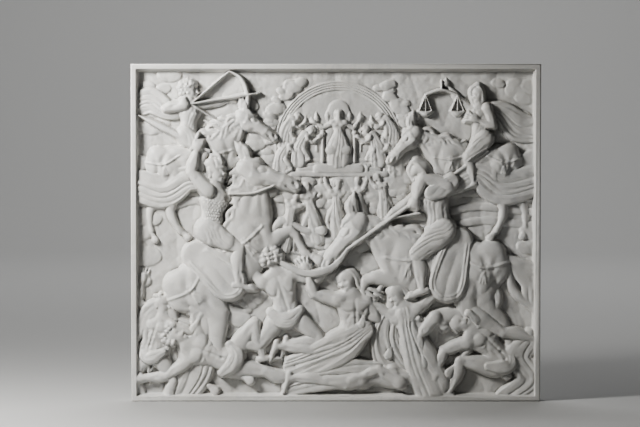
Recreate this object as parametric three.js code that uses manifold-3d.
// Marble relief plaque: one carved slab with a raised border round a field of crowded high relief.
// X runs to the right, Z up, and the front faces -Y. The origin is the centre of the flat back.
// Four traditional riders on horseback bear down from both sides on a heap of fallen figures,
// under a small enthroned figure in an arch. The relief is worked out as heights over the field.
import * as THREE from "three";
import { mergeVertices } from "three/addons/utils/BufferGeometryUtils.js";
import Module from "manifold-3d";

// Driving dimensions, in millimetres.
const WIDTH = 410; // outer width
const HEIGHT = 338; // outer height
const SLAB = 11; // stone behind the ground of the relief
const BORDER_FACE = 5; // flat front of the border
const BORDER_RISE = 9; // from the ground of the relief to the front of the border
const INNER_BEVEL = 3; // slope from the border down to the field
const EDGE_ROUND = 1.4; // rounding of the outer edges
const RELIEF_RISE = 16.5; // from the ground to the highest carving

// The relief is laid out on a drawing of its own, which is fitted to the field.
const DRAWING = { wide: 400, high: 328, deep: 21 };
const CELL = 1.6; // spacing of the heights on the drawing
const TRIANGLES = 6800; // faces kept when the carved surface is thinned
const OVERLAP = 0.6; // how far the carved block runs into the border and the slab

// Carving habits, in units of the drawing.
const NOTHING = -60; // height where a layer holds no form
const WALL = 4.2; // slope of a form's side down to what lies behind it
const SWELL = 1.8; // how strongly a round form stands out of the stone
const DEEP = 0.4; // share of a form's own depth that the relief keeps
const FLATTEN = 0.35; // how much the tallest forms are flattened

const COLUMNS = Math.round(DRAWING.wide / CELL) + 1;
const ROWS = Math.round(DRAWING.high / CELL) + 1;
const ground = new Float32Array(COLUMNS * ROWS);

// Small vector helpers. A point is [x, z, depth], and angles are in degrees, 0 to the right and 90 up.
const radians = (degrees) => (degrees * Math.PI) / 180;
const sin = (degrees) => Math.sin(radians(degrees));
const cos = (degrees) => Math.cos(radians(degrees));
const angleOf = (x, z) => (Math.atan2(z, x) * 180) / Math.PI;
const clamp = (value, low, high) => Math.min(Math.max(value, low), high);
const scaled = (values, size) => values.map((value) => value * size);
const mixed = (a, b, share) => a.map((value, i) => value * (1 - share) + b[i] * share);
const swell = (radius) => Math.min(radius, SWELL * Math.sqrt(radius));
const lifted = (point, by) => [point[0], point[1], point[2] + by];
const turnsLeft = (first, second) => (sin(second - first) >= 0 ? 1 : -1);

function step([x, z, depth], length, angle, tilt = 0) {
  const run = length * cos(tilt);
  return [x + run * cos(angle), z + run * sin(angle), depth + length * sin(tilt) * DEEP];
}

// Deterministic numbers from 0 to 1, so that every build carves the same stone.
function dice(seed) {
  let state = (seed * 2654435761 + 12345) >>> 0;
  return () => {
    state = (Math.imul(state, 1664525) + 1013904223) >>> 0;
    return state / 4294967296;
  };
}

const cubic = (a, b, c, d, s) =>
  0.5 * (2 * b + (c - a) * s + (2 * a - 5 * b + 4 * c - d) * s * s + (3 * b - a - 3 * c + d) * s * s * s);

// A smooth curve through the points, with the given number of steps to each span.
function curve(points, steps) {
  if (points.length === 2 || steps === 1) return points;
  const last = points.length - 1;
  const mirror = (end, next) => end.map((value, i) => 2 * value - next[i]);
  const all = [mirror(points[0], points[1]), ...points, mirror(points[last], points[last - 1])];
  const out = [];
  for (let i = 1; i <= last; i++) {
    for (let k = 0; k < steps; k++) {
      const [a, b, c, d] = all.slice(i - 1, i + 3);
      out.push([0, 1, 2].map((j) => cubic(a[j], b[j], c[j], d[j], k / steps)));
    }
  }
  out.push(points[last]);
  return out;
}

// A smooth value at t, from values given at equal steps of t.
function valueAt(values, t) {
  const last = values.length - 1;
  if (last === 0) return values[0];
  const x = clamp(t, 0, 1) * last;
  const i = Math.min(Math.floor(x), last - 1);
  return cubic(values[Math.max(i - 1, 0)], values[i], values[i + 1], values[Math.min(i + 2, last)], x - i);
}

// The place along a path that is nearest to a point, how far off it is, and on which side (+1 is left).
function nearest(path, x, z) {
  let best = Infinity;
  let t = 0;
  let side = 0;
  for (let i = 0; i < path.length - 1; i++) {
    const [ax, az] = path[i];
    const bx = path[i + 1][0] - ax;
    const bz = path[i + 1][1] - az;
    const long = Math.max(bx * bx + bz * bz, 1e-9);
    const s = clamp(((x - ax) * bx + (z - az) * bz) / long, 0, 1);
    const dx = x - ax - s * bx;
    const dz = z - az - s * bz;
    const gap = dx * dx + dz * dz;
    if (gap < best) {
      best = gap;
      t = (i + s) / (path.length - 1);
      side = (bx * dz - bz * dx) / Math.sqrt(long);
    }
  }
  const d = Math.sqrt(best);
  return { t, d, side: clamp(side / Math.max(d, 1e-6), -1, 1) };
}

function smoothMax(a, b, soft) {
  if (soft <= 0) return Math.max(a, b);
  const near = Math.max(soft - Math.abs(a - b), 0) / soft;
  return Math.max(a, b) + near * near * (soft / 4);
}

// Forms melted into one, then laid in front of what is carved already.
class Layer {
  constructor() {
    this.heights = new Float32Array(COLUMNS * ROWS).fill(NOTHING);
  }

  raise(points, reach, soft, heightAt) {
    const xs = points.map((p) => p[0]);
    const zs = points.map((p) => p[1]);
    const first = Math.max(0, Math.floor((Math.min(...xs) - reach) / CELL));
    const last = Math.min(COLUMNS - 1, Math.ceil((Math.max(...xs) + reach) / CELL));
    const low = Math.max(0, Math.floor((Math.min(...zs) - reach) / CELL));
    const high = Math.min(ROWS - 1, Math.ceil((Math.max(...zs) + reach) / CELL));
    for (let j = low; j <= high; j++) {
      for (let i = first; i <= last; i++) {
        const k = j * COLUMNS + i;
        this.heights[k] = smoothMax(this.heights[k], heightAt(i * CELL, j * CELL), soft);
      }
    }
    return this;
  }

  // A rounded form along a path. left and right are its half widths at equal steps.
  sweep(points, left, options = {}) {
    const { right = left, bulge = null, soft = 1, power = 2, smooth = 4, wall = WALL, skin = null } = options;
    const path = curve(points, smooth);
    const depths = path.map((p) => p[2]);
    const reach = Math.max(...left, ...right) * 1.15 + 4;
    return this.raise(path, reach, soft, (x, z) => {
      const { t, d, side } = nearest(path, x, z);
      const leftWide = valueAt(left, t);
      const rightWide = valueAt(right, t);
      const wide = Math.max(rightWide + (leftWide - rightWide) * (0.5 + 0.5 * side), 0.05);
      const i = Math.min(Math.floor(t * (path.length - 1)), path.length - 2);
      const depth = depths[i] + (depths[i + 1] - depths[i]) * (t * (path.length - 1) - i);
      if (d >= wide) return depth - wall * (d - wide);
      const up = bulge === null ? swell(0.5 * (leftWide + rightWide)) : valueAt(bulge, t);
      const folds = skin === null ? 0 : skin(t, (side * d) / wide);
      return depth + up * Math.sqrt(1 - (d / wide) ** power) + folds;
    });
  }

  // An ellipsoid with its long radius along the angle.
  blob([cx, cz, depth], long, short = long, angle = 0, options = {}) {
    const small = Math.min(long, short);
    const { bulge = swell(small), soft = 1 } = options;
    return this.raise([[cx, cz]], Math.max(long, short) + 4, soft, (x, z) => {
      const along = ((x - cx) * cos(angle) + (z - cz) * sin(angle)) / long;
      const across = ((z - cz) * cos(angle) - (x - cx) * sin(angle)) / short;
      const u = Math.hypot(along, across);
      return u < 1 ? depth + bulge * Math.sqrt(1 - u * u) : depth - WALL * (u - 1) * small;
    });
  }

  // Cuts a soft groove along a path.
  score(points, width, cut) {
    const path = curve(points, 4);
    for (let j = 0; j < ROWS; j++) {
      for (let i = 0; i < COLUMNS; i++) {
        const k = j * COLUMNS + i;
        if (this.heights[k] < NOTHING / 2) continue;
        const { t, d } = nearest(path, i * CELL, j * CELL);
        this.heights[k] -= valueAt(cut, t) * Math.exp(-((d / width) ** 2));
      }
    }
    return this;
  }

  lay() {
    for (let k = 0; k < ground.length; k++) {
      ground[k] = Math.max(ground[k], this.heights[k]);
    }
  }
}

// Turns (across, high, forward) shares of a size into a point: turn 0 faces the viewer, 90 right of up.
function placeAt([x, z, depth], up, turn, size) {
  return (across, high, forward) => {
    const side = (across * cos(turn) + forward * sin(turn)) * size;
    return [
      x + cos(up) * high * size + sin(up) * side,
      z + sin(up) * high * size - cos(up) * side,
      depth + (forward * cos(turn) - across * sin(turn)) * size * 0.42,
    ];
  };
}

// Human figures. Lengths and widths are shares of the stature.
const ARM_OUTER = [0.044, 0.043, 0.037, 0.03, 0.037, 0.027, 0.018];
const ARM_INNER = [0.04, 0.036, 0.035, 0.027, 0.032, 0.025, 0.018];
const LEG_FRONT = [0.052, 0.064, 0.061, 0.05, 0.04, 0.033, 0.032, 0.026, 0.021];
const LEG_BACK = [0.07, 0.066, 0.053, 0.043, 0.034, 0.052, 0.049, 0.031, 0.02];
const TRUNK_FLAT = [0.088, 0.09, 0.08, 0.076, 0.094, 0.112, 0.062];
const TRUNK_FRONT = [0.05, 0.056, 0.056, 0.058, 0.074, 0.07, 0.04];
const TRUNK_BACK = [0.078, 0.074, 0.052, 0.048, 0.064, 0.066, 0.042];
const TRUNK_SWELL = [0.95, 0.92, 0.86, 0.86, 1, 1.02, 0.75];

// The angles of two links that reach from one point to another, with the elbow to one side.
function reach(x, z, bend) {
  return (start, upper, lower) => {
    const gap = Math.hypot(x - start[0], z - start[1]);
    const far = clamp(gap, Math.abs(upper - lower) + 0.1, upper + lower - 0.1);
    const aim = angleOf(x - start[0], z - start[1]);
    const corner = (link, other) => {
      const across = (link * link + far * far - other * other) / (2 * link * far);
      return angleOf(across, Math.sqrt(1 - across * across));
    };
    return [aim - bend * corner(upper, lower), aim + bend * corner(lower, upper)];
  };
}

function carveArm(layer, shoulder, pose, size) {
  const upperLong = 0.168 * size;
  const lowerLong = 0.14 * size;
  const angles = typeof pose === "function" ? pose(shoulder, upperLong, 0.17 * size) : pose;
  const [upper, lower, upperTilt = 0, lowerTilt = 0] = angles;
  const elbow = step(shoulder, upperLong, upper, upperTilt);
  const wrist = step(elbow, lowerLong, lower, lowerTilt);
  const outer = scaled(ARM_OUTER, size);
  const inner = scaled(ARM_INNER, size);
  const [left, right] = turnsLeft(upper, lower) > 0 ? [inner, outer] : [outer, inner];
  const cap = { bulge: swell(0.042 * size), soft: 3 };
  layer.blob(lifted(shoulder, 0.3), 0.054 * size, 0.045 * size, upper, cap);
  layer.sweep([shoulder, elbow, wrist], left, { right, soft: 2, smooth: 1 });
  layer.sweep([wrist, step(wrist, 0.085 * size, lower)], scaled([0.02, 0.03, 0.026, 0.014], size));
}

function carveLeg(layer, hip, pose, size) {
  const [thigh, shin, thighTilt = 0, shinTilt = 0, toes = null] = pose;
  const front = -turnsLeft(thigh, shin);
  const footAngle = toes === null ? shin + 80 * front : toes;
  const knee = step(hip, 0.245 * size, thigh, thighTilt);
  const ankle = step(knee, 0.23 * size, shin, shinTilt);
  const fore = scaled(LEG_FRONT, size);
  const calf = scaled(LEG_BACK, size);
  const [left, right] = front > 0 ? [fore, calf] : [calf, fore];
  layer.sweep([hip, knee, ankle], left, { right, soft: 2.4, smooth: 1 });
  const instep = sin(shin + 180 - footAngle) > 0 ? 1 : -1;
  const heel = step(step(ankle, 0.02 * size, footAngle - 90 * instep), -0.022 * size, footAngle);
  const top = scaled([0.024, 0.031, 0.023, 0.015, 0.01], size);
  const sole = scaled([0.019, 0.016, 0.013, 0.014, 0.009], size);
  const [footLeft, footRight] = instep > 0 ? [top, sole] : [sole, top];
  layer.sweep([heel, step(heel, 0.135 * size, footAngle)], footLeft, { right: footRight });
  return knee;
}

function carveHead(layer, neck, up, turn, size, { hair = "curly", seed = 1, rise = 0 }) {
  const tall = 0.152 * size;
  const at = placeAt(lifted(step(neck, 0.106 * size, up), 0.8 + rise), up, turn, tall);
  const wide = Math.hypot(0.36 * cos(turn), 0.45 * sin(turn)) * tall;
  const jawWide = Math.hypot(0.26 * cos(turn), 0.31 * sin(turn)) * tall;
  layer.sweep([neck, at(0, -0.15, -0.12)], scaled([0.046, 0.036, 0.035], size), { soft: 2 });
  layer.blob(at(0, 0.13, -0.05), wide, 0.39 * tall, up - 90, { bulge: swell(0.36 * tall) * 1.15 });
  layer.blob(at(0, -0.16, 0.09), jawWide, 0.34 * tall, up - 90, { bulge: swell(0.3 * tall) });
  layer.sweep([at(0, 0.08, 0.4), at(0, -0.12, 0.54)], scaled([0.04, 0.06], tall), { soft: 0.3 });
  if (hair === "hood" || hair === "helmet") {
    const brim = hair === "hood" ? 0.5 : 0.43;
    const bowl = { bulge: swell(0.4 * tall) * 1.2, soft: 0.3 };
    layer.blob(at(0, 0.2, -0.12), wide * 1.2, brim * tall, up - 90, bowl);
  } else {
    const roll = dice(seed);
    for (let k = 0; k < 12; k++) {
      const lon = 40 + 280 * (k / 11);
      const high = 0.2 + 0.35 * roll();
      const knot = at(0.36 * sin(lon), high, 0.4 * cos(lon) - 0.1);
      layer.blob(knot, 0.17 * tall, 0.14 * tall, 180 * roll(), { soft: 0.3 });
    }
  }
  if (hair === "long") {
    for (const side of [-1, 1]) {
      const fall = [at(side * 0.3, 0.3, 0), at(side * 0.44, -0.2, -0.1), at(side * 0.6, -0.9, -0.3)];
      layer.sweep(fall, scaled([0.14, 0.16, 0.06], tall), { soft: 0.3 });
    }
  }
}

// One figure. a and b are its picture-left and picture-right sides when it stands upright.
function human([x, z], size, depth, pose) {
  const { hips = 90, chest = 90, facing = 0, faceUp = chest, faceTurn = facing } = pose;
  const { far = [], near = [], nearRise = 3 } = pose;
  const flat = Math.abs(cos(facing));
  const turned = sin(facing);
  const pelvis = [x, z, depth];
  const waist = step(pelvis, 0.125 * size, hips);
  const neck = step(waist, 0.178 * size, chest);
  const joints = {};
  for (const [name, side] of [["A", 1], ["B", -1]]) {
    const shoulder = step(step(waist, 0.148 * size, chest), 0.108 * size * flat, chest + 90 * side);
    joints["arm" + name] = lifted(shoulder, 0.3 + side * turned * 0.1 * size * DEEP);
    const hip = step(pelvis, 0.048 * size * flat, hips + 90 * side);
    joints["leg" + name] = lifted(hip, side * turned * 0.05 * size * DEEP);
  }
  const figure = { size, pelvis, waist, neck, hips, chest, facing, knees: {}, joints };
  const carveLimb = (layer, name, by = 0) => {
    const start = lifted(joints[name], by);
    if (name.startsWith("arm")) carveArm(layer, start, pose[name], size);
    else figure.knees[name] = carveLeg(layer, start, pose[name], size);
  };
  const given = ["legA", "legB", "armA", "armB"].filter((name) => pose[name]);
  for (const name of given.filter((part) => far.includes(part))) {
    const layer = new Layer();
    carveLimb(layer, name);
    layer.lay();
  }
  const body = new Layer();
  figure.left = mixed(TRUNK_FLAT, turned > 0 ? TRUNK_BACK : TRUNK_FRONT, 1 - flat);
  figure.right = mixed(TRUNK_FLAT, turned > 0 ? TRUNK_FRONT : TRUNK_BACK, 1 - flat);
  const trunkSwell = scaled(TRUNK_SWELL, swell(0.08 * size));
  const trunk = { right: scaled(figure.right, size), bulge: trunkSwell, power: 2.4 };
  body.sweep([pelvis, waist, neck], scaled(figure.left, size), { ...trunk, soft: 1.2 });
  for (const name of ["armA", "armB"]) {
    const base = step(neck, 0.03 * size, chest);
    body.sweep([base, joints[name]], scaled([0.034, 0.036, 0.044], size), { soft: 3 });
  }
  carveTrunk(body, placeAt(lifted(waist, 1), chest, facing, size), facing, size, chest);
  for (const name of given.filter((part) => !far.includes(part) && !near.includes(part))) {
    carveLimb(body, name);
  }
  carveHead(body, neck, faceUp, faceTurn, size, pose);
  body.lay();
  for (const name of given.filter((part) => near.includes(part))) {
    const layer = new Layer();
    carveLimb(layer, name, nearRise);
    layer.lay();
  }
  return figure;
}

// Breast, belly or back, where the figure is large enough to show them.
function carveTrunk(body, at, facing, size, chest) {
  if (size < 100) return;
  if (Math.abs(facing) < 80) {
    for (const side of [-1, 1]) {
      const plate = { bulge: 2.4, soft: 2.5 };
      body.blob(at(side * 0.05, 0.102, 0.04), 0.056 * size, 0.04 * size, chest - 90, plate);
    }
    body.score([at(0, 0.15, 0.05), at(0, -0.1, 0.05)], 1.6, [0.4, 1, 0.6]);
  } else if (Math.abs(facing) > 100) {
    for (const side of [-1, 1]) {
      const blade = { bulge: 2, soft: 2.6 };
      body.blob(at(side * 0.058, 0.085, -0.045), 0.036 * size, 0.056 * size, chest - 90, blade);
      body.blob(at(side * 0.043, -0.135, -0.05), 0.047 * size, 0.054 * size, chest - 90, { soft: 1.6 });
    }
    body.score([at(0, 0.16, -0.05), at(0, -0.1, -0.05)], 2, [0.6, 1.4, 1.2]);
  }
}

// Cloth and plain rods.

// A strip of cloth along the points, with rounded folds and sharp valleys running along it.
function cloth(points, wide, folds = 3, fold = 1, options = {}) {
  const { narrow = wide, bulge = [1.3], seed = 0, smooth = 4, power = 5, slant = 0 } = options;
  const start = 6 * dice(seed)();
  const phase = (t, u) => folds * 1.4 * (u + slant * t) + Math.sin(3 * t) + start;
  const skin = (t, u) => fold * (Math.abs(Math.cos(phase(t, u))) - 0.5);
  new Layer().sweep(points, wide, { right: narrow, bulge, soft: 0.3, power, smooth, skin }).lay();
}

// A garment over the trunk of a figure.
function tunic({ size, pelvis, waist, neck, left, right, hips, chest }, folds, fold, hem = 0.04) {
  const round = [1, 0.95, 0.92, 0.95, 1.08, 1.05, 0.8];
  const bulge = scaled(round, swell(0.08 * size)).map((value) => value + 0.5);
  const narrow = scaled(right, size * 1.06);
  const path = [step(pelvis, -hem * size, hips), waist, step(neck, -0.055 * size, chest)];
  cloth(path, scaled(left, size * 1.06), folds, fold, { narrow, bulge, power: 2.8, slant: 0.9 });
}

// A long robe from the chest down to the feet.
function gown({ size, pelvis, waist, neck, chest }, feet, spread, folds, fold) {
  const top = lifted(step(neck, -0.06 * size, chest), 0.008 * size);
  const middle = lifted(waist, 0.01 * size);
  const hem = [...feet, pelvis[2] + 0.006 * size];
  const path = [top, middle, lifted(mixed(middle, hem, 0.5), 0.6), hem];
  const wide = scaled([0.08, 0.075, spread * 0.9, spread], size);
  cloth(path, wide, folds, fold, { bulge: [swell(0.07 * size)], power: 3 });
}

// A cloth wound round the hips.
function loincloth({ size, pelvis, hips, facing }, folds = 3, fold = 0.9) {
  const low = placeAt(lifted(pelvis, 1), hips, facing, size);
  const ahead = Math.abs(facing) < 95 ? 0.05 : -0.05;
  const middle = [low(-0.03, -0.02, ahead), low(0.04, -0.02, ahead)];
  const path = [low(-0.098, 0.035, 0), ...middle, low(0.098, 0.035, 0)];
  const wide = scaled([0.03, 0.05, 0.056, 0.05, 0.03], size);
  cloth(path, wide, folds, fold, { bulge: [swell(0.07 * size) * 0.9] });
}

// Cloth over one thigh, from the hip towards the knee.
function skirt({ size, joints, knees }, name, share, folds, fold, rise = 3) {
  const hip = lifted(joints[name], rise);
  const end = mixed(hip, knees[name], share);
  const bulge = [swell(0.062 * size) + 0.8];
  cloth([hip, end], scaled([0.08, 0.08, 0.066, 0.058], size), folds, fold, { bulge, power: 2.6, slant: 1.2 });
}

function rod(points, radii, smooth = 1) {
  new Layer().sweep(points, radii, { soft: 0.2, smooth, wall: 8 }).lay();
}

// Horses, in profile. Lengths and widths are shares of the length of the trunk.
const FORE_AHEAD = [0.085, 0.072, 0.046, 0.036, 0.027, 0.026, 0.032, 0.024, 0.024];
const FORE_BEHIND = [0.095, 0.066, 0.04, 0.036, 0.03, 0.03, 0.034, 0.028, 0.026];
const HIND_AHEAD = [0.15, 0.15, 0.12, 0.085, 0.06, 0.044, 0.038, 0.028, 0.034, 0.026, 0.024];
const HIND_BEHIND = [0.165, 0.15, 0.11, 0.09, 0.075, 0.05, 0.044, 0.034, 0.036, 0.03, 0.026];
const FORE_BONES = [0.28, 0.2, 0.075];
const HIND_BONES = [0.25, 0.27, 0.22, 0.075];

// way is 1 for a horse that faces right and -1 for one that faces left; pitch raises its forehand.
function horse([x, z], size, depth, way, pitch, pose) {
  const { fore, hind, neck, muzzle, tail = 200, blown = 205, longMane = 1, seed = 1 } = pose;
  const roll = dice(seed);
  const at = (ahead, up, y = 0) => [
    x + way * size * (ahead * cos(pitch) - up * sin(pitch)),
    z + size * (ahead * sin(pitch) + up * cos(pitch)),
    depth + y,
  ];
  const turned = (angle) => angleOf(way * cos(angle + pitch), sin(angle + pitch));
  const sides = (upper, lower) => {
    const [above, below] = [scaled(upper, size), scaled(lower, size)];
    return way > 0 ? [above, below] : [below, above];
  };
  const sweep = (layer, points, upper, lower, options) => {
    const [left, right] = sides(upper, lower);
    return layer.sweep(points, left, { ...options, right });
  };
  const leg = (layer, start, angles, bones, ahead, behind, y) => {
    let [px, pz] = start;
    const path = [at(px, pz, y)];
    angles.forEach((angle, i) => {
      px += cos(angle) * bones[i];
      pz += sin(angle) * bones[i];
      path.push(at(px, pz, y));
    });
    sweep(layer, path, ahead, behind, { soft: 2.2, smooth: 3 });
    const toe = at(px + cos(angles.at(-1)) * 0.055, pz + sin(angles.at(-1)) * 0.055, y);
    const hoof = { bulge: scaled([0.035, 0.05], size), soft: 0.3, power: 6 };
    layer.sweep([path.at(-1), toe], scaled([0.024, 0.04], size), hoof);
  };
  const legs = (layer, which, y) => {
    leg(layer, [0.3, -0.1], fore[which], FORE_BONES, FORE_AHEAD, FORE_BEHIND, y);
    leg(layer, [-0.29, 0], hind[which], HIND_BONES, HIND_AHEAD, HIND_BEHIND, y);
  };
  const lock = (layer, root, angle, long, wide) => {
    const bend = roll() > 0.5 ? 1 : -1;
    const a = step(root, long * 0.35, angle + 12 * bend);
    const b = step(a, long * 0.33, angle - 22 * bend);
    const c = lifted(step(b, long * 0.34, angle + 18 * bend), -0.8);
    layer.sweep([root, a, b, c], scaled([1, 1.15, 0.8, 0.3], wide), { soft: 0.2 });
  };

  const behind = new Layer();
  legs(behind, 1, -1.5);
  for (let k = 0; k < 8; k++) {
    const length = (0.42 + 0.22 * roll()) * size;
    lock(behind, at(-0.48, 0.08, -0.5), turned(tail + (k - 3.5) * 8), length, 0.034 * size);
  }
  behind.lay();

  const body = new Layer();
  const top = [0.15, 0.195, 0.19, 0.178, 0.19, 0.22, 0.215, 0.15];
  const low = [0.14, 0.175, 0.18, 0.215, 0.24, 0.245, 0.215, 0.15];
  const barrel = { bulge: [swell(0.2 * size)], power: 2.5 };
  sweep(body, [at(-0.36, 0.02), at(0, 0), at(0.34, 0.03)], top, low, barrel);
  const throat = [at(0.26, 0.06, 0.3), at(...neck[0], 0.6), at(...neck[1], 0.9)];
  const throatSwell = [0.17, 0.12, 0.09].map((share) => swell(share * size));
  sweep(body, throat, [0.19, 0.15, 0.11, 0.085, 0.066], [0.235, 0.185, 0.125, 0.09, 0.07],
    { bulge: throatSwell, soft: 4, power: 2.2 });
  const haunch = { bulge: swell(0.17 * size), soft: 4 };
  const shoulder = { bulge: swell(0.14 * size), soft: 4 };
  body.blob(at(-0.29, 0.02, 0.8), 0.21 * size, 0.17 * size, turned(-60), haunch);
  body.blob(at(0.25, -0.01, 0.8), 0.21 * size, 0.13 * size, turned(65), shoulder);
  legs(body, 0, 1.2);
  body.score([at(0.09, -0.21), at(0.14, -0.06), at(0.13, 0.08)], 0.034 * size, [0.2, 1.2, 0.3]);
  body.score([at(-0.12, -0.2), at(-0.11, -0.07), at(-0.17, 0.08)], 0.034 * size, [0.4, 1.3, 0.2]);
  body.lay();

  const mane = new Layer();
  const crest = curve([
    at(neck[1][0] - 0.02, neck[1][1] + 0.03, 4),
    at(neck[0][0] - 0.06, neck[0][1] + 0.06, 5),
    at(0.18, 0.2, 5)], 6);
  for (const root of crest) {
    const way = turned(blown + 70 * (roll() - 0.5));
    lock(mane, root, way, (0.26 + 0.14 * roll()) * longMane * size, 0.028 * size);
  }
  mane.lay();

  const head = new Layer();
  const long = 1.14 * size;
  const onHead = (along, out, y = 0) => {
    const [x0, z0] = at(...neck[1]);
    const [dx, dz] = [cos(muzzle) * along - sin(muzzle) * out, sin(muzzle) * along + cos(muzzle) * out];
    return [
      x0 + way * long * (dx * cos(pitch) - dz * sin(pitch)),
      z0 + long * (dx * sin(pitch) + dz * cos(pitch)),
      depth + 5 + y,
    ];
  };
  const headSwell = [0.085, 0.085, 0.055].map((share) => swell(share * long));
  const brow = scaled([0.06, 0.066, 0.056, 0.048, 0.05, 0.038], 1.14);
  const jaw = scaled([0.078, 0.112, 0.088, 0.058, 0.058, 0.044], 1.14);
  sweep(head, [onHead(0, 0), onHead(0.36, 0)], brow, jaw, { bulge: headSwell });
  head.blob(onHead(0.085, -0.035, 0.6), 0.076 * long, 0.066 * long, turned(muzzle), { soft: 1.4 });
  for (const shift of [-0.035, 0.005]) {
    const ear = [onHead(shift, 0.048), onHead(shift - 0.095, 0.13)];
    head.sweep(ear, scaled([0.022, 0.026, 0.006], long), { soft: 0.2 });
  }
  head.lay();
  return { size, at };
}

// A folded cloth under the rider that hangs down the horse's flank.
function saddleCloth({ size, at }) {
  const fall = [at(-0.09, 0.19, 6), at(-0.06, 0.04, 9.6), at(-0.04, -0.12, 9.4)];
  cloth(fall, scaled([0.11, 0.13, 0.14], size), 3, 1, { bulge: [1.2], power: 6 });
}

// The composition, on the drawing of the field.

const THRONE = { x: 203, z: 252, radius: 63 };
const GALLOP = {
  fore: [[0, -80, -60], [-30, -120, -100]],
  hind: [[-70, -115, -75, -55], [-95, -140, -100, -80]],
};

function heaven() {
  const { x, z, radius } = THRONE;
  new Layer().blob([x, z, -0.4], radius - 7, radius - 7, 0, { bulge: 1.2, soft: 0 }).lay();
  const arc = [];
  for (let angle = -6; angle <= 186; angle += 8) {
    arc.push([x + radius * cos(angle), z + radius * sin(angle), 0]);
  }
  new Layer().sweep(arc, [4], { bulge: [1.2], smooth: 1 }).lay();
  for (let k = 0; k < 7; k++) {
    const lamp = x - 33 + 11 * k;
    if (Math.abs(lamp - x) < 6) continue;
    const top = z + 27 - 0.006 * (lamp - x) ** 2;
    rod([[lamp, z - 6, 0.4], [lamp, top, 0.4]], [1.2]);
    rod([[lamp, top, 0.7], [lamp, top + 9, 0.5]], [2.2, 2.8, 0.6]);
  }
  for (let k = 0; k < 4; k++) {
    const half = 26 + 7 * k;
    const [level, out] = [z - 16 - 4.4 * k, 0.6 + 0.8 * k];
    const stair = [[x - half, level, out], [x + half, level, out]];
    new Layer().sweep(stair, [2.6], { bulge: [0.5], power: 8, soft: 0 }).lay();
  }
  new Layer().sweep([[x, 240, 0.8], [x, 286, 0.8]], [14, 13, 11], { bulge: [1.2], power: 6 }).lay();
  const ruler = human([x, 258], 60, 1.6, { armA: [-150, 150], armB: [-35, 55], hair: "long", rise: 0.5 });
  gown(ruler, [x, 238], 0.19, 3, 0.8);
  for (const side of [-1, 1]) {
    new Layer().blob([x + 7 * side, 247, 4.4], 6, 5, 0, { bulge: 2.6 }).lay();
    rod([[x + 16 * side, 236, 2.2], [x + 16 * side, 264, 2.2]], [1.8, 1.4, 2.2]);
  }
  const footstool = [[x - 21, 228, 3.6], [x + 21, 228, 3.6]];
  new Layer().sweep(footstool, [4.2], { bulge: [0.6], power: 8, soft: 0 }).lay();
}

function kneelers() {
  const places = [[35, -4, 48], [53, -14, 50], [48, 12, 42]];
  for (const side of [1, -1]) {
    for (const [out, up, size] of places) {
      const x = THRONE.x - side * out;
      const z = THRONE.z + up;
      const arms = side > 0 ? [-50, 35] : [-130, 145];
      const legs = side > 0 ? [[-60, -150], [-80, -170]] : [[-120, -30], [-100, -10]];
      const pose = { hips: 90 - 12 * side, chest: 90 - 28 * side, facing: 72 * side };
      human([x, z], size, 1.4, { ...pose, armA: arms, legA: legs[0], legB: legs[1] });
      const fall = [[x + side, z + 14, 3], [x - 4 * side, z + 3, 3.4], [x - 5 * side, z - 11, 2.4]];
      cloth(fall, [4, 6, 8], 2, 0.7);
    }
  }
}

// A number from 0 to 1 that is always the same for the same k and seed.
function chance(k, seed) {
  const value = Math.sin(12.9898 * k + 78.233 * seed) * 43758.5453;
  return value - Math.floor(value);
}

// A row of cloud lobes along a path, each lying in front of the last.
function billows(points, radius, depth, seed) {
  const path = curve(points.map(([x, z]) => [x, z, 0]), 6);
  const last = path.length - 1;
  let long = 0;
  for (let i = 0; i < last; i++) {
    long += Math.hypot(path[i + 1][0] - path[i][0], path[i + 1][1] - path[i][1]);
  }
  const count = Math.max(2, Math.floor(long / (radius * 0.5)));
  for (let k = 0; k < count; k++) {
    const [x, z] = path[Math.floor((last * k) / (count - 1))];
    const [grow, lift, turn] = [0, 1, 2].map((i) => chance(3 * k + i, seed));
    const r = radius * (0.45 + 0.65 * grow ** 2);
    const centre = [x + radius * (turn - 0.5), z + 1.2 * radius * (lift - 0.5), depth + 0.8 * lift];
    new Layer().blob(centre, r * 1.2, r * 0.75, 50 * (turn - 0.5), { bulge: 1.9 }).lay();
  }
}

// Long low waves of ground behind the riders.
function ridges() {
  const lines = [[[206, 178], [240, 186], [290, 180], [340, 190], [404, 184]],
    [[214, 166], [250, 172], [300, 168], [350, 176], [404, 170]],
    [[-4, 196], [30, 190], [60, 196], [100, 188]],
    [[196, 190], [230, 198], [280, 194], [330, 204], [404, 198]]];
  for (const line of lines) {
    new Layer().sweep(line.map(([x, z]) => [x, z, 0.3]), [4], { bulge: [1.3], power: 2.4 }).lay();
  }
  billows([[-2, 262], [18, 276], [8, 300], [34, 318]], 12, 0.2, 2);
  billows([[402, 250], [388, 282], [396, 306], [366, 320]], 12, 0.2, 3);
}

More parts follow.
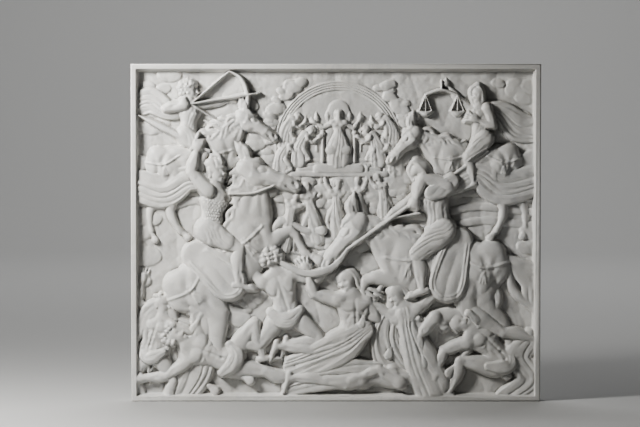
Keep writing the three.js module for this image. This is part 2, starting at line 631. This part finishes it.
// Clouds round the arch and under its steps.
function clouds() {
  const { x, z } = THRONE;
  for (const side of [-1, 1]) {
    const rim = [[66, -30], [72, 0], [69, 24], [58, 44], [40, 60]].map(([out, up]) => [x + side * out, z + up]);
    billows(rim, 8, 0.6, side < 0 ? 4 : 5);
  }
  billows([[x - 92, z - 18], [x - 84, z + 6], [x - 88, z + 36]], 8, 0.4, 6);
  const below = [[x - 88, z - 36], [x - 50, z - 38], [x, z - 44], [x + 50, z - 38], [x + 84, z - 36]];
  billows(below, 11, 1, 7);
  billows([[x - 70, z - 47], [x - 30, z - 53], [x + 30, z - 53], [x + 66, z - 47]], 9, 1.2, 8);
  billows([[176, 128], [206, 120], [240, 126], [222, 138], [190, 140]], 10, 0.6, 11);
  billows([[96, 84], [118, 96], [122, 120]], 9, 0.6, 12);
  billows([[2, 112], [10, 140], [4, 168], [22, 186]], 12, 0.5, 13);
  billows([[398, 96], [392, 130], [400, 160]], 12, 0.5, 14);
  billows([[150, 160], [176, 156], [206, 152], [232, 158], [254, 168]], 8, 1.4, 10);
  billows([[60, 96], [84, 84], [112, 74]], 9, 1, 15);
}

// Small far figures between the riders.
function crowd() {
  const people = [[176, 184, 66, 100, 140, 60], [200, 188, 60, 84, 120, 45], [152, 176, 64, 70, 110, 20],
    [224, 192, 58, 95, 150, 70], [250, 198, 54, 110, 130, 40]];
  people.forEach(([x, z, size, up, a, b], i) => {
    const pose = { hips: up, chest: up, facing: 30 - 20 * (i % 4), armA: [a, a - 20], armB: [b, b + 20] };
    const figure = human([x, z], size, 0.6, { ...pose, rise: 0.8, legA: [-110, -80], legB: [-70, -100] });
    gown(figure, [x + 6 - 5 * (i % 3), z - 26], 0.115, 3, 0.9);
  });
}

function archer() {
  horse([56, 236], 94, 1.2, 1, 10,
    { ...GALLOP, neck: [[0.5, 0.24], [0.62, 0.38]], muzzle: -45, tail: 190, blown: 200, seed: 5 });
  cloth([[50, 288, 4], [34, 286, 4], [14, 296, 3], [-6, 288, 2]], [5, 9, 13, 11], 3, 1.2);
  const rider = human([52, 262], 108, 4, {
    hips: 88, chest: 86, facing: 60, faceTurn: 75, faceUp: 92, far: ["armB"], near: ["legA", "armA"],
    armA: [192, 22], armB: reach(106, 299, 1), legA: [-42, -105],
  });
  tunic(rider, 3, 0.7);
  skirt(rider, "legA", 0.7, 3, 0.7);
  rod([[94, 326, 5.5], [106, 318, 6], [112, 300, 7], [108, 280, 6.5], [96, 268, 5.5]], [0.9, 2, 0.9], 4);
  rod([[94, 326, 5.6], [55, 293, 8.2], [96, 268, 5.6]], [0.8]);
  rod([[52, 292.6, 8.8], [124, 304, 7.5]], [0.9, 0.9, 1.4, 0.4]);
}

function weigher() {
  horse([340, 234], 94, 1.2, -1, 2,
    { ...GALLOP, fore: [[-15, -100, -80], [-60, -110, -100]], neck: [[0.5, 0.2], [0.66, 0.31]], muzzle: -52,
      blown: 215, seed: 6 });
  cloth([[352, 290, 4], [368, 284, 4], [384, 270, 3], [404, 266, 2]], [6, 11, 15, 12], 3, 1.2);
  const rider = human([346, 258], 108, 4, {
    hips: 92, chest: 96, facing: -50, faceTurn: -35, faceUp: 95, hair: "hood", near: ["legB", "armB"],
    armA: reach(306, 318, -1), armB: [-70, 160], legB: [-132, -76],
  });
  tunic(rider, 3, 0.7);
  skirt(rider, "legB", 0.9, 3, 0.9);
  rod([[290, 302, 5], [306, 307, 5.4], [322, 302, 5]], [0.9, 1.3, 0.9], 4);
  rod([[306, 307, 5], [306, 316, 5]], [0.7]);
  for (const x of [290, 322]) {
    for (const side of [-1, 1]) {
      rod([[x, 302, 4.6], [x + 6 * side, 287, 4.6]], [0.6]);
    }
    rod([[x - 7, 286, 4], [x, 283, 4.6], [x + 7, 286, 4]], [0.8, 2.6, 0.8], 4);
  }
}

function swordsman() {
  const steed = horse([86, 130], 130, 3, 1, 40, {
    fore: [[-5, -95, -70], [15, -60, -40]], hind: [[-85, -125, -95, -70], [-105, -150, -115, -80]],
    neck: [[0.55, 0.28], [0.64, 0.47]], muzzle: -62, tail: 205, blown: 195, longMane: 0.55, seed: 7,
  });
  saddleCloth(steed);
  cloth([[78, 212, 8], [52, 218, 8], [26, 206, 6], [-6, 214, 4]], [7, 12, 17, 15], 4, 1.5);
  const rider = human([75, 166], 148, 6.5, {
    hips: 84, chest: 84, facing: 65, faceTurn: 42, faceUp: 88, hair: "helmet", rise: 3.6, far: ["armB"],
    near: ["legA", "armA"], nearRise: 3.5, armA: reach(62, 250, -1), armB: [-20, 15], legA: [-30, -92],
  });
  tunic(rider, 2, 0.4, 0.02);
  skirt(rider, "legA", 0.62, 4, 1, 3.5);
  rod([[142, 213, 11], [118, 204, 12], [94, 203, 12.5]], [0.8], 4);
  rod([[74, 246, 12.5], [52, 257, 12.5]], [1.5]);
  rod([[54, 256, 11.5], [2, 282, 8]], [2.8, 3, 2.8, 0.4]);
  rod([[56, 248, 13], [63, 263, 13]], [1.6]);
}

function reaper() {
  const steed = horse([308, 130], 134, 3, -1, 4, {
    fore: [[-10, -95, -80], [-75, -100, -80]], hind: [[-65, -105, -70, -50], [-95, -135, -105, -80]],
    neck: [[0.5, 0.22], [0.66, 0.3]], muzzle: -58, tail: 215, blown: 215, seed: 9,
  });
  saddleCloth(steed);
  cloth([[318, 212, 8], [342, 222, 8], [368, 210, 6], [404, 218, 4]], [8, 14, 18, 15], 4, 1.5);
  const [shaftTop, shaftFoot] = [[352, 246, 9], [212, 148, 13]];
  const grip = (share) => reach(...mixed(shaftTop, shaftFoot, share).slice(0, 2), 1);
  const rider = human([304, 166], 150, 6.5, {
    hips: 95, chest: 112, facing: -55, faceTurn: -50, faceUp: 118, hair: "hood", near: ["legB", "armA"],
    nearRise: 3.5, armA: grip(0.8), legB: [-138, -80],
  });
  tunic(rider, 4, 1);
  skirt(rider, "legB", 0.95, 4, 1.1, 3.5);
  rod([shaftTop, shaftFoot], [1.7]);
  const blade = [[214, 150, 13], [196, 132, 12], [172, 126, 11], [146, 136, 9], [128, 152, 7]];
  const edge = { right: [1.4, 1, 1, 0.8, 0.3], bulge: [1.2], soft: 0.2, power: 1.3, wall: 9 };
  new Layer().sweep(blade, [1.6, 5.6, 6.2, 4.4, 0.4], edge).lay();
  const arm = new Layer();
  carveArm(arm, [311, 211, 14], grip(0.52), 150);
  arm.lay();
  cloth([[316, 216, 15], [306, 208, 16.5], [296, 204, 16.5]], [7, 8, 7], 3, 0.8, { bulge: [1.6] });
}

function fallen() {
  cloth([[20, 78, 3], [50, 60, 4], [60, 30, 4], [40, -6, 3]], [8, 14, 18, 16], 4, 1.4);
  loincloth(human([16, 42], 124, 3, { hips: 80, chest: 72, facing: -30, faceUp: 90, faceTurn: 50,
    armA: [120, 80], armB: [-20, 60], legA: [-120, -60], legB: [-60, -100], seed: 20 }));
  loincloth(human([150, 80], 146, 3.6, { hips: 95, chest: 108, facing: 180,
    armA: [130, 95], armB: [-20, 50], legA: [-125, 178], legB: [-40, -125], seed: 11 }));
  loincloth(human([338, 80], 142, 3.2, { hips: 176, chest: 196, facing: -78, faceUp: 186, faceTurn: -60,
    armA: [-100, -70], armB: [-130, -80], legA: [-62, -10], legB: [-30, -12], seed: 13 }));
  cloth([[262, 92, 3], [250, 60, 4], [262, 30, 4], [300, 4, 3]], [8, 14, 18, 14], 4, 1.4);
  const robed = human([276, 48], 138, 4.2, { hips: 96, chest: 104, facing: -25, faceUp: 120, faceTurn: -40,
    hair: "long", armA: [150, 60], armB: [40, 110], seed: 18 });
  gown(robed, [296, 12], 0.14, 4, 1.2);
  human([214, 58], 144, 4.6, { hips: 80, chest: 92, facing: 25, faceUp: 110, faceTurn: -30, hair: "long",
    armA: [165, 110], armB: [-60, 160], legA: [-158, 172], legB: [-172, 176], seed: 12 });
  cloth([[228, 66, 8.5], [208, 50, 9.5], [184, 38, 8.5], [160, 30, 5]], [10, 16, 16, 12], 4, 1.4);
  loincloth(human([95, 36], 150, 4.4, { hips: 165, chest: 158, facing: 10, faceUp: 140, faceTurn: 40,
    armA: [215, 185], armB: [100, 60], legA: [-8, -12], legB: [55, -75], seed: 14 }));
  human([224, 18], 146, 4.4, { hips: 5, chest: 0, facing: -70, faceUp: -15, faceTurn: -60,
    armA: [-60, -20], armB: [150, 200], legA: [165, 185], legB: [180, 175], seed: 15 });
  cloth([[240, 26, 7], [216, 24, 8.5], [190, 20, 8.5], [156, 10, 5]], [8, 14, 14, 10], 3, 1.2);
  loincloth(human([366, 32], 146, 4.4, { hips: 120, chest: 135, facing: 30, faceUp: 150, faceTurn: 30,
    armA: [200, 250], armB: [60, 100], legA: [170, 250], legB: [50, -60], seed: 16 }));
  cloth([[404, 60, 5], [386, 40, 6], [396, 16, 6], [372, -4, 4]], [7, 12, 14, 12], 4, 1.2);
}

const SCENES = [ridges, clouds, heaven, kneelers, crowd, archer, weigher, swordsman, reaper, fallen];
for (const scene of SCENES) {
  scene();
}

// The carved surface as triangles, in millimetres of the plaque.

const OPENING = { wide: WIDTH - 2 * BORDER_FACE, high: HEIGHT - 2 * BORDER_FACE };
const FIELD = { wide: OPENING.wide - 2 * INNER_BEVEL, high: OPENING.high - 2 * INNER_BEVEL };
const [SIDE_RIM, END_RIM] = [1, 2]; // marks of points that keep their x or their z

// Flattens the tallest forms softly towards the greatest height.
function toned(height) {
  const share = Math.max(height, 0) / DRAWING.deep;
  return (RELIEF_RISE * share * (1 + FLATTEN)) / (1 + FLATTEN * share);
}

function gridSurface() {
  const points = [];
  const rims = [];
  for (let j = 0; j < ROWS; j++) {
    for (let i = 0; i < COLUMNS; i++) {
      const x = (i / (COLUMNS - 1) - 0.5) * (OPENING.wide + OVERLAP);
      const z = (j / (ROWS - 1) - 0.5) * (OPENING.high + OVERLAP);
      points.push([x, z, toned(ground[j * COLUMNS + i])]);
      rims.push((i % (COLUMNS - 1) === 0 ? SIDE_RIM : 0) + (j % (ROWS - 1) === 0 ? END_RIM : 0));
    }
  }
  const triangles = [];
  for (let j = 0; j < ROWS - 1; j++) {
    for (let i = 0; i < COLUMNS - 1; i++) {
      const a = j * COLUMNS + i;
      const [b, c, d] = [a + 1, a + COLUMNS + 1, a + COLUMNS];
      triangles.push([a, b, c], [a, c, d]);
    }
  }
  return { points, rims, triangles };
}

// A queue that gives back its cheapest entry first. An entry's first item is its cost.
class Queue {
  entries = [];

  push(entry) {
    const list = this.entries;
    let i = list.push(entry) - 1;
    while (i > 0) {
      const parent = (i - 1) >> 1;
      if (list[parent][0] <= entry[0]) break;
      list[i] = list[parent];
      i = parent;
    }
    list[i] = entry;
  }

  pop() {
    const list = this.entries;
    const first = list[0];
    const entry = list.pop();
    if (list.length === 0) return first;
    let i = 0;
    for (let child = 1; child < list.length; child = 2 * i + 1) {
      if (child + 1 < list.length && list[child + 1][0] < list[child][0]) child += 1;
      if (list[child][0] >= entry[0]) break;
      list[i] = list[child];
      i = child;
    }
    list[i] = entry;
    return first;
  }
}

const flatArea = (p, q, r) => 0.5 * ((q[0] - p[0]) * (r[1] - p[1]) - (q[1] - p[1]) * (r[0] - p[0]));

// The squared distance to a triangle's plane, as ten coefficients weighted by its area.
function planeError(p, q, r) {
  const u = [q[0] - p[0], q[1] - p[1], q[2] - p[2]];
  const v = [r[0] - p[0], r[1] - p[1], r[2] - p[2]];
  const n = [u[1] * v[2] - u[2] * v[1], u[2] * v[0] - u[0] * v[2], u[0] * v[1] - u[1] * v[0]];
  const area = Math.hypot(...n);
  const [a, b, c] = n.map((value) => value / area);
  const d = -(a * p[0] + b * p[1] + c * p[2]);
  return [a * a, a * b, a * c, a * d, b * b, b * c, b * d, c * c, c * d, d * d].map((value) => value * area);
}

const errorAt = (e, [x, y, z]) =>
  e[0] * x * x + 2 * e[1] * x * y + 2 * e[2] * x * z + 2 * e[3] * x + e[4] * y * y + 2 * e[5] * y * z +
  2 * e[6] * y + e[7] * z * z + 2 * e[8] * z + e[9];

// The point where an error is least, or null where the surface is too flat to tell.
function bestPoint(e) {
  const [m00, m01, m02, , m11, m12, , m22] = e;
  const [c0, c1, c2] = [m11 * m22 - m12 * m12, m02 * m12 - m01 * m22, m01 * m12 - m02 * m11];
  const det = m00 * c0 + m01 * c1 + m02 * c2;
  const size = m00 + m11 + m22;
  if (Math.abs(det) < 1e-4 * size ** 3) return null;
  const [c11, c12, c22] = [m00 * m22 - m02 * m02, m01 * m02 - m00 * m12, m00 * m11 - m01 * m01];
  const [r0, r1, r2] = [-e[3], -e[6], -e[8]];
  return [c0 * r0 + c1 * r1 + c2 * r2, c1 * r0 + c11 * r1 + c12 * r2, c2 * r0 + c12 * r1 + c22 * r2].map(
    (value) => value / det,
  );
}

// Thins a surface by merging the ends of its edges, cheapest first. It stays a surface of heights,
// because no triangle may turn over in plan, and the rim stays straight.
function thinned({ points, rims, triangles }, target) {
  const around = points.map(() => new Set());
  const errors = points.map(() => new Array(10).fill(0));
  triangles.forEach((triangle, t) => {
    const error = planeError(...triangle.map((k) => points[k]));
    for (const k of triangle) {
      around[k].add(t);
      errors[k] = errors[k].map((value, i) => value + error[i]);
    }
  });
  const stamps = new Int32Array(points.length);
  const queue = new Queue();
  const offer = (a, b) => {
    const shared = rims[a] & rims[b];
    if (shared !== rims[a] && shared !== rims[b]) return;
    const error = errors[a].map((value, i) => value + errors[b][i]);
    const middle = points[a].map((value, i) => 0.5 * (value + points[b][i]));
    let choices = rims[a] === rims[b] ? [points[a], points[b], middle] : [points[rims[a] > rims[b] ? a : b]];
    if (rims[a] === 0 && rims[b] === 0) choices = [bestPoint(error) ?? middle, ...choices];
    const length = Math.hypot(...points[a].map((value, i) => value - points[b][i]));
    let best = null;
    for (const point of choices) {
      const strayed = Math.hypot(point[0] - middle[0], point[1] - middle[1], point[2] - middle[2]);
      const cost = errorAt(error, point) + 1e-3 * length;
      if (strayed <= 1.5 * length && (best === null || cost < best[0])) best = [cost, point];
    }
    queue.push([best[0], a, b, stamps[a], stamps[b], best[1], error]);
  };
  const neighbours = (k) => {
    const found = new Set([...around[k]].flatMap((t) => triangles[t]));
    found.delete(k);
    return found;
  };
  points.forEach((_, k) => {
    for (const other of neighbours(k)) {
      if (other > k) offer(k, other);
    }
  });

  let count = triangles.length;
  while (count > target && queue.entries.length > 0) {
    const [, a, b, stampA, stampB, point, error] = queue.pop();
    if (stamps[a] !== stampA || stamps[b] !== stampB) continue;
    const both = [...around[a]].filter((t) => around[b].has(t));
    const nearB = neighbours(b);
    const common = [...neighbours(a)].filter((k) => nearB.has(k));
    if (common.length !== both.length || (rims[a] && rims[b] && both.length !== 1)) continue;
    const kept = [...around[a], ...around[b]].filter((t) => !both.includes(t));
    const folds = kept.some((t) => {
      const [p, q, r] = triangles[t].map((k) => (k === a || k === b ? point : points[k]));
      const longest = Math.max(Math.hypot(p[0] - q[0], p[1] - q[1]), Math.hypot(q[0] - r[0], q[1] - r[1]),
        Math.hypot(r[0] - p[0], r[1] - p[1]));
      return flatArea(p, q, r) < 0.04 * longest;
    });
    if (folds) continue;
    for (const t of both) {
      for (const k of triangles[t]) around[k].delete(t);
      triangles[t] = null;
    }
    count -= both.length;
    for (const t of around[b]) {
      triangles[t] = triangles[t].map((k) => (k === b ? a : k));
      around[a].add(t);
    }
    around[b].clear();
    points[a] = point;
    rims[a] |= rims[b];
    errors[a] = error;
    stamps[a] += 1;
    stamps[b] = -1;
    for (const other of neighbours(a)) {
      offer(a, other);
    }
  }
  return { points, triangles: triangles.filter((triangle) => triangle !== null) };
}

// The surface closed into a block that reaches a little way into the slab.
function carvedBlock() {
  const { points, triangles } = thinned(gridSurface(), TRIANGLES);
  const base = points.length;
  const positions = [];
  for (const [x, z, height] of points) {
    positions.push(x, -SLAB - height, z);
  }
  for (const [x, z] of points) {
    positions.push(x, -SLAB + OVERLAP, z);
  }
  positions.push(0, -SLAB + OVERLAP, 0);
  const edgesOf = ([a, b, c]) => [[a, b], [b, c], [c, a]].map((edge) => edge.join());
  const edges = new Set(triangles.flatMap(edgesOf));
  const index = triangles.flat();
  for (const edge of edges) {
    const [a, b] = edge.split(",").map(Number);
    if (edges.has(b + "," + a)) continue;
    index.push(b, a, base + a, b, base + a, base + b, base + b, base + a, 2 * base);
  }
  const geometry = new THREE.BufferGeometry();
  geometry.setAttribute("position", new THREE.Float32BufferAttribute(positions, 3));
  geometry.setIndex(index);
  return geometry;
}

// The blank: a slab with rounded edges, lying with its back on y = 0.
function blank() {
  const [x, z] = [WIDTH / 2 - EDGE_ROUND, HEIGHT / 2 - EDGE_ROUND];
  const outline = new THREE.Shape([[-x, -z], [x, -z], [x, z], [-x, z]].map((p) => new THREE.Vector2(...p)));
  const geometry = new THREE.ExtrudeGeometry(outline, {
    depth: SLAB + BORDER_RISE - 2 * EDGE_ROUND,
    bevelThickness: EDGE_ROUND,
    bevelSize: EDGE_ROUND,
    bevelSegments: 3,
  });
  return geometry.translate(0, 0, EDGE_ROUND).rotateX(Math.PI / 2);
}

// The pocket inside the border, with its sloping sides.
function pocket() {
  const geometry = new THREE.BoxGeometry(1, BORDER_RISE, 1);
  const position = geometry.getAttribute("position");
  for (let i = 0; i < position.count; i++) {
    const { wide, high } = position.getY(i) < 0 ? OPENING : FIELD;
    position.setX(i, position.getX(i) * wide);
    position.setZ(i, position.getZ(i) * high);
  }
  return geometry.translate(0, -SLAB - BORDER_RISE / 2, 0);
}

const wasm = await Module();
wasm.setup();

function solid(geometry) {
  geometry.deleteAttribute("normal");
  geometry.deleteAttribute("uv");
  const merged = mergeVertices(geometry, 1e-4);
  const vertProperties = new Float32Array(merged.getAttribute("position").array);
  const triVerts = new Uint32Array(merged.index.array);
  return new wasm.Manifold(new wasm.Mesh({ numProp: 3, vertProperties, triVerts }));
}

function reliefPlaque() {
  const stone = solid(blank()).subtract(solid(pocket())).add(solid(carvedBlock())).getMesh();
  const geometry = new THREE.BufferGeometry();
  geometry.setAttribute("position", new THREE.Float32BufferAttribute(stone.vertProperties, 3));
  geometry.setIndex([...stone.triVerts]);
  geometry.computeVertexNormals();
  const marble = new THREE.MeshStandardMaterial({ color: 0xe3e1dc, roughness: 0.45, metalness: 0 });
  const mesh = new THREE.Mesh(geometry, marble);
  mesh.name = "relief_plaque";
  return mesh;
}

const plaque = new THREE.Group();
plaque.add(reliefPlaque());
export default plaque;
